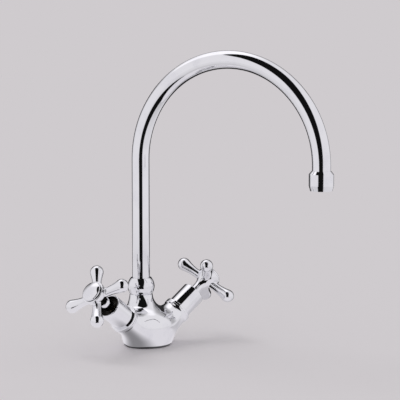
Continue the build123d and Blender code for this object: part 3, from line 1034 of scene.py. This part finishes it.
def surface_points(values: np.ndarray, active: np.ndarray) -> np.ndarray:
    """One point in each cell that the surface passes, amid the places where it cuts an edge.

    Args:
        values: Distances on a grid, negative inside.
        active: Which cells the surface passes.

    Returns:
        The points, in steps of the grid.
    """
    cells = active.shape
    total, number = np.zeros(cells + (3,)), np.zeros(cells)
    for at in np.ndindex(2, 2, 2):
        for axis in range(3):
            if at[axis] == 1:
                continue
            end = tuple(1 if place == axis else part for place, part in enumerate(at))
            first, second = cell_corner(values, at), cell_corner(values, end)
            crossing = (first < 0.0) != (second < 0.0)
            share = np.where(crossing, first / np.where(crossing, first - second, 1.0), 0.0)
            spot = [np.full(cells, float(part)) for part in at]
            spot[axis] = spot[axis] + share
            total += np.stack(spot, -1) * crossing[..., None]
            number += crossing
    return np.argwhere(active) + total[active] / number[active][:, None]


def surface_net(values: np.ndarray) -> tuple[np.ndarray, np.ndarray]:
    """Polygons where a grid of distances passes through 0.

    Args:
        values: Distances on a grid, negative inside.

    Returns:
        Points in steps of the grid, and quads as rows of four point numbers.
    """
    inside = values < 0.0
    filled = sum(cell_corner(inside, at).astype(int) for at in np.ndindex(2, 2, 2))
    active = (filled > 0) & (filled < 8)
    numbers = np.full(active.shape, -1)
    numbers[active] = np.arange(active.sum())
    quads = []
    for axis in range(3):
        across, beyond = (axis + 1) % 3, (axis + 2) % 3
        first = np.take(inside, range(inside.shape[axis] - 1), axis)
        second = np.take(inside, range(1, inside.shape[axis]), axis)
        for leaving in (True, False):
            spots = np.argwhere(first & ~second if leaving else ~first & second)
            for place in (across, beyond):
                within = (spots[:, place] > 0) & (spots[:, place] < inside.shape[place] - 1)
                spots = spots[within]
            ring = []
            for step, rise in ((0, 0), (-1, 0), (-1, -1), (0, -1)):
                cell = spots.copy()
                cell[:, across] += step
                cell[:, beyond] += rise
                ring.append(numbers[tuple(cell.T)])
            quad = np.stack(ring, -1)
            quads.append(quad if leaving else quad[:, ::-1])
    return surface_points(values, active), np.concatenate(quads)


def close_up(shape: bmesh.types.BMesh) -> None:
    """Merge the points of a shape that fall together."""
    bmesh.ops.remove_doubles(shape, verts=shape.verts, dist=MERGE)
    bmesh.ops.dissolve_degenerate(shape, edges=shape.edges, dist=MERGE)


def turned(name: str, base: Vector, axis: Vector, outline: Pairs) -> Item:
    """A solid turned about an axis, in millimetres.

    Args:
        name: Its name.
        base: Where height 0 is.
        axis: Direction of the axis.
        outline: (radius, height) points, open where they start and end on the axis.

    Returns:
        The solid as an object.
    """
    shape = bmesh.new()
    points = [shape.verts.new((radius * MM, 0.0, height * MM)) for radius, height in outline]
    edges = [shape.edges.new(pair) for pair in zip(points, points[1:])]
    if outline[0][0] > 0.0:
        edges.append(shape.edges.new((points[-1], points[0])))
    bmesh.ops.spin(
        shape,
        geom=points + edges,
        cent=(0.0, 0.0, 0.0),
        axis=(0.0, 0.0, 1.0),
        angle=tau,
        steps=TURN_STEPS,
        use_merge=True,
    )
    close_up(shape)
    bmesh.ops.recalc_face_normals(shape, faces=shape.faces)
    spin = axis.to_track_quat("Z", "Y").to_matrix().to_4x4()
    shape.transform(Matrix.Translation(base * MM) @ spin)
    return put(name, to_mesh(name, shape))


def rod(name: str, base: Vector, axis: Vector, radius: float, ends: Pair) -> Item:
    """A plain round solid between two heights on its axis, in millimetres."""
    outline = ((0.0, ends[0]), (radius, ends[0]), (radius, ends[1]), (0.0, ends[1]))
    return turned(name, base, axis, outline)


def heal(mesh: Mesh) -> None:
    """Close a carved mesh where its points fall together."""
    shape = bmesh.new()
    shape.from_mesh(mesh)
    close_up(shape)
    gaps = sum(len(edge.link_faces) != 2 for edge in shape.edges)
    shape.to_mesh(mesh)
    shape.free()
    log.info("%s: %d open edges", mesh.name, gaps)


def carve(solid: Item, tool: Item, operation: str = "DIFFERENCE") -> None:
    """Cut a tool out of a solid, or join it on, and throw the tool away.

    Args:
        solid: The solid that is changed.
        tool: The other solid.
        operation: DIFFERENCE or UNION.
    """
    modifier = solid.modifiers.new("carve", "BOOLEAN")
    modifier.object = tool
    modifier.operation = operation
    modifier.solver = "EXACT"
    bpy.context.view_layer.update()
    settled = solid.evaluated_get(bpy.context.evaluated_depsgraph_get())
    mesh = bpy.data.meshes.new_from_object(settled)
    solid.modifiers.clear()
    worn, solid.data = solid.data, mesh
    bpy.data.meshes.remove(worn)
    bpy.data.meshes.remove(tool.data)


# === Pieces of the tap ===


@dataclass
class SubAssembly:
    """A group of pieces that belong together.

    Attributes:
        nodes: All CAD nodes by name.
    """

    nodes: Nodes

    def dress(self, finish: Finish, *names: str) -> None:
        """Give pieces, named by their nodes, one finish.

        Args:
            finish: The finish.
            *names: The nodes.
        """
        material = finish.build()
        for name in names:
            cover(self.nodes[name], material)


@dataclass
class ValveAssembly(SubAssembly):
    """A group of pieces on one valve.

    Attributes:
        valve: The valve's axis.
    """

    valve: ValveLine

    @property
    def axis(self) -> Point:
        """Direction of the valve's axis."""
        return tuple(self.valve.along)

    @property
    def side(self) -> str:
        """Name of the valve's side, which begins the names of its nodes."""
        return self.valve.side.value

    def dress(self, finish: Finish, *names: str) -> None:
        """Give pieces, named without their side, one finish."""
        super().dress(finish, *(f"{self.side}_{name}" for name in names))


def cover(node: Item, material: Material) -> None:
    """Put a material on a piece.

    Args:
        node: The piece.
        material: The material.
    """
    if node.material_slots:
        for slot in node.material_slots:
            slot.link = "OBJECT"
            slot.material = material
    else:
        node.data.materials.append(material)
    log.info("dressed %s in %s", node.name, material.name)


@dataclass
class TapBody(SubAssembly):
    """The cast body, with its bores, and the seal in its base. Sizes in millimetres.

    Attributes:
        form: Outer form of the casting.
        low: Lowest corner of the space that holds it.
        high: Highest corner.
        pitch: Size of its polygons.
        reach: Reach of the socket ends.
        neck_thread: Radius and top of the thread on the neck.
        neck_bore: Radius and floor of the bore for the spigot.
        overrun: How far the thread starts below the neck's top and its bore runs past its end.
        chamber: Outline of a valve chamber and its port.
        passage: Radius, start on the valve axis and end height of the way out of a chamber.
        inlets: Outline of a hose inlet and its passage.
        inlet_reach: Reach on the valve axis that an inlet lies under.
        stud_radius: Radius of the hole for the fixing stud.
        stud_ends: Heights that its cutter reaches between.
        stud_offset: How far behind the origin it is.
        groove: Outline of the groove for the base seal.
        plating: Finish of the casting.
        rubber: Finish of the seal.
    """

    form: CastForm = CastForm()
    low: Point = (-52.0, -37.0, -4.0)
    high: Point = (52.0, 37.0, 57.0)
    pitch: float = 0.8
    reach: float = 44.3
    neck_thread: Pair = (10.4, 59.4)
    neck_bore: Pair = (7.7, 25.0)
    overrun: float = 4.0
    chamber: Pairs = (
        (0.0, 13.0), (3.4, 13.0), (3.4, 20.0), (9.8, 20.0),
        (9.8, 33.0), (10.3, 33.0), (10.3, 50.0), (0.0, 50.0),
    )
    passage: tuple[float, float, float] = (2.8, 30.0, 33.0)
    inlets: Pairs = ((0.0, -2.0), (4.5, -2.0), (4.5, 10.0), (3.2, 10.0), (3.2, 14.5), (0.0, 14.5))
    inlet_reach: float = 13.0
    stud_radius: float = 3.4
    stud_ends: Pair = (-2.0, 14.0)
    stud_offset: float = 15.0
    groove: Pairs = ((19.6, -2.0), (21.8, -2.0), (21.8, 1.5), (19.6, 1.5))
    plating: Plating = Plating("body_chrome")
    rubber: Moulding = Moulding("base_rubber", (0.02, 0.02, 0.021), (0.035, 0.034, 0.034), 0.7)

    def casting(self) -> Item:
        """Make the casting with flat faces for its sockets, neck and base.

        Returns:
            The casting without bores.
        """
        points, quads = self.form.mesh(self.low, self.high, self.pitch)
        mesh = bpy.data.meshes.new("cast_body")
        mesh.from_pydata((points * MM).tolist(), [], quads.tolist())
        shape = bmesh.new()
        shape.from_mesh(mesh)
        bpy.data.meshes.remove(mesh)
        faces = [(Vector(), -UP), (UP * self.form.neck_height, UP)]
        faces += [(valve.at(self.reach), valve.along) for valve in self.form.valves]
        for place, normal in faces:
            everything = shape.verts[:] + shape.edges[:] + shape.faces[:]
            cut = bmesh.ops.bisect_plane(
                shape, geom=everything, plane_co=place * MM, plane_no=normal, clear_outer=True
            )
            edges = [part for part in cut["geom_cut"] if isinstance(part, bmesh.types.BMEdge)]
            bmesh.ops.holes_fill(shape, edges=edges)
        bmesh.ops.recalc_face_normals(shape, faces=shape.faces)
        return put("cast_body", to_mesh("cast_body", shape))

    def bore(self, casting: Item) -> None:
        """Add the neck's thread and cut all bores.

        Args:
            casting: The solid casting.
        """
        foot = Vector((0.0, self.form.neck_offset, 0.0))
        radius, top = self.neck_thread
        below = self.form.neck_height - self.overrun
        carve(casting, rod("thread", foot, UP, radius, (below, top)), "UNION")
        radius, floor = self.neck_bore
        carve(casting, rod("neck_bore", foot, UP, radius, (floor, top + self.overrun)))
        radius, start, height = self.passage
        for valve in self.form.valves:
            carve(casting, turned("chamber", valve.centre, valve.along, self.chamber))
            leave = valve.at(start)
            run = foot + UP * height - leave
            carve(casting, rod("passage", leave, run.normalized(), radius, (0.0, run.length)))
            under = valve.at(self.inlet_reach)
            under.z = 0.0
            carve(casting, turned("inlet", under, UP, self.inlets))
        stud_place = Vector((0.0, self.stud_offset, 0.0))
        carve(casting, rod("stud_hole", stud_place, UP, self.stud_radius, self.stud_ends))
        carve(casting, turned("groove", Vector(), UP, self.groove))
        heal(casting.data)

    def build(self) -> None:
        """Make the casting and dress it and the seal."""
        casting = self.casting()
        self.bore(casting)
        mesh = casting.data
        mesh.polygons.foreach_set("use_smooth", [True] * len(mesh.polygons))
        mesh.set_sharp_from_angle(angle=SHARP)
        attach(casting, "tap_body")
        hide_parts("body")
        mesh.materials.clear()
        cover(casting, self.plating.build())
        self.dress(self.rubber, "base_seal")
        log.info("cast body: %d faces", len(mesh.polygons))


@dataclass
class SpoutNut(SubAssembly):
    """The barrel nut that holds the spout, with its two slip washers.

    Attributes:
        plating: Finish of the nut.
        slip: Finish of the washers.
    """

    plating: Plating = Plating("nut_chrome", Lay.TURNED)
    slip: Moulding = Moulding("slip_plastic", (0.78, 0.77, 0.72), (0.66, 0.65, 0.6), 0.45)

    def build(self) -> None:
        """Dress the nut and its washers."""
        self.dress(self.plating, "spout_nut")
        self.dress(self.slip, "slip_washer_lower", "slip_washer_upper")


@dataclass
class Spout(SubAssembly):
    """The swan-neck tube with the bush and rings in its foot.

    Attributes:
        plating: Finish of the tube.
        brass: Finish of the bush.
        rubber: Finish of the rings.
    """

    plating: Plating = Plating("tube_chrome", Lay.DRAWN)
    brass: Metal = Metal("bush_brass", (0.72, 0.52, 0.24), (0.5, 0.34, 0.16), 0.24)
    rubber: Moulding = Moulding("ring_rubber", (0.012, 0.012, 0.013), (0.03, 0.03, 0.03), 0.42)

    def build(self) -> None:
        """Dress the tube, its bush and its rings."""
        self.dress(self.plating, "spout_tube")
        self.dress(self.brass, "spout_spigot")
        self.dress(self.rubber, "spout_ring_lower", "spout_ring_upper")


@dataclass
class Aerator(SubAssembly):
    """The screw-on aerator at the end of the spout.

    Attributes:
        plating: Finish of the housing.
        plastic: Finish of the insert.
        steel: Finish of the mesh.
        rubber: Finish of the washer.
    """

    plating: Plating = Plating("aerator_chrome", Lay.TURNED)
    plastic: Moulding = Moulding("insert_plastic", (0.7, 0.71, 0.7), (0.6, 0.6, 0.58), 0.38)
    steel: Metal = Metal("mesh_steel", (0.56, 0.56, 0.57), (0.36, 0.36, 0.36), 0.3)
    rubber: Moulding = Moulding("washer_rubber", (0.02, 0.02, 0.02), (0.04, 0.04, 0.04), 0.6)

    def build(self) -> None:
        """Dress the housing and what it holds."""
        self.dress(self.plating, "aerator_housing")
        self.dress(self.plastic, "aerator_insert")
        self.dress(self.steel, "aerator_mesh")
        self.dress(self.rubber, "aerator_washer")


@dataclass
class ValveTrim(ValveAssembly):
    """The collar and the sleeve that cover one valve.

    Attributes:
        inner_shade_radius: Radius about the valve axis inside which the sleeve is painted near
            black as shade, in millimetres.
    """

    inner_shade_radius: float = 11.15

    def build(self) -> None:
        """Dress the collar and the sleeve."""
        collar = Plating(f"{self.side}_collar_chrome", Lay.TURNED, self.axis)
        # Painted shade: the sleeve is near black within this radius of the valve axis, where it
        # lies under the handle.
        sleeve = Plating(
            f"{self.side}_sleeve_chrome",
            Lay.TURNED,
            self.axis,
            inner_shade_centre=tuple(self.valve.centre * MM),
            inner_shade_radius=self.inner_shade_radius * MM,
        )
        self.dress(collar, "valve_collar")
        self.dress(sleeve, "valve_sleeve")


@dataclass
class CrossHandle(ValveAssembly):
    """One cross handle with its screw and its cap.

    Attributes:
        steel: Finish of the screw.
    """

    steel: Metal = Metal("screw_steel", (0.6, 0.6, 0.61), (0.42, 0.42, 0.42), 0.28)

    def build(self) -> None:
        """Dress the handle, the screw and the cap."""
        self.dress(Plating(f"{self.side}_handle_chrome"), "handle")
        self.dress(self.steel, "handle_screw")
        self.dress(Plating(f"{self.side}_cap_chrome", Lay.TURNED, self.axis), "handle_cap")


@dataclass
class ValveWorks(ValveAssembly):
    """The working parts inside one valve.

    Attributes:
        ceramic: Finish of the two discs.
        rubber: Finish of the seal and the rings.
        steel: Finish of the spring clip.
        brass: Colours and roughness of the spindle.
        bonnet_shade: Colours and roughness of the bonnet, near black as painted shade in the gap
            between the handle and the sleeve.
    """

    ceramic: Moulding = Moulding(
        "valve_ceramic", (0.8, 0.79, 0.75), (0.76, 0.75, 0.7), 0.12, grain=5200.0, depth=0.000002
    )
    rubber: Moulding = Moulding("valve_rubber", (0.014, 0.014, 0.015), (0.03, 0.03, 0.03), 0.5)
    steel: Metal = Metal("spring_steel", (0.42, 0.42, 0.44), (0.28, 0.27, 0.27), 0.34)
    brass: tuple[Colour, Colour, float] = (0.7, 0.5, 0.23), (0.46, 0.32, 0.15), 0.26
    bonnet_shade: tuple[Colour, Colour, float] = (0.03, 0.027, 0.024), (0.016, 0.015, 0.014), 0.5

    def build(self) -> None:
        """Dress the bonnet, the spindle, the discs, the seals and the clip."""
        self.dress(Metal(f"{self.side}_spindle_brass", *self.brass, self.axis), "spindle")
        # The bonnet is dressed near black: painted shade in the gap between the handle and the
        # sleeve.
        self.dress(Metal(f"{self.side}_bonnet_painted_shade", *self.bonnet_shade, self.axis), "bonnet")
        self.dress(self.rubber, "bonnet_ring", "spindle_ring", "seat_seal")
        self.dress(self.ceramic, "fixed_disc", "moving_disc")
        self.dress(self.steel, "spindle_clip")


def main() -> None:
    """Build the scene."""
    logging.basicConfig(level=logging.INFO, format="%(name)s: %(message)s")
    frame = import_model()
    nodes = frame["nodes"]
    camera = PhotoCamera()
    camera.build()
    Surround().build(camera)
    SoftLight().build(camera)
    Floor().build(camera)
    parts = [TapBody(nodes), SpoutNut(nodes), Spout(nodes), Aerator(nodes)]
    for side in Side:
        valve = ValveLine(side)
        parts += [ValveTrim(nodes, valve), CrossHandle(nodes, valve), ValveWorks(nodes, valve)]
    for part in parts:
        part.build()
        log.info("built %s", type(part).__name__)
    bpy.context.scene.view_settings.view_transform = "Standard"


if __name__ == "__main__":
    main()
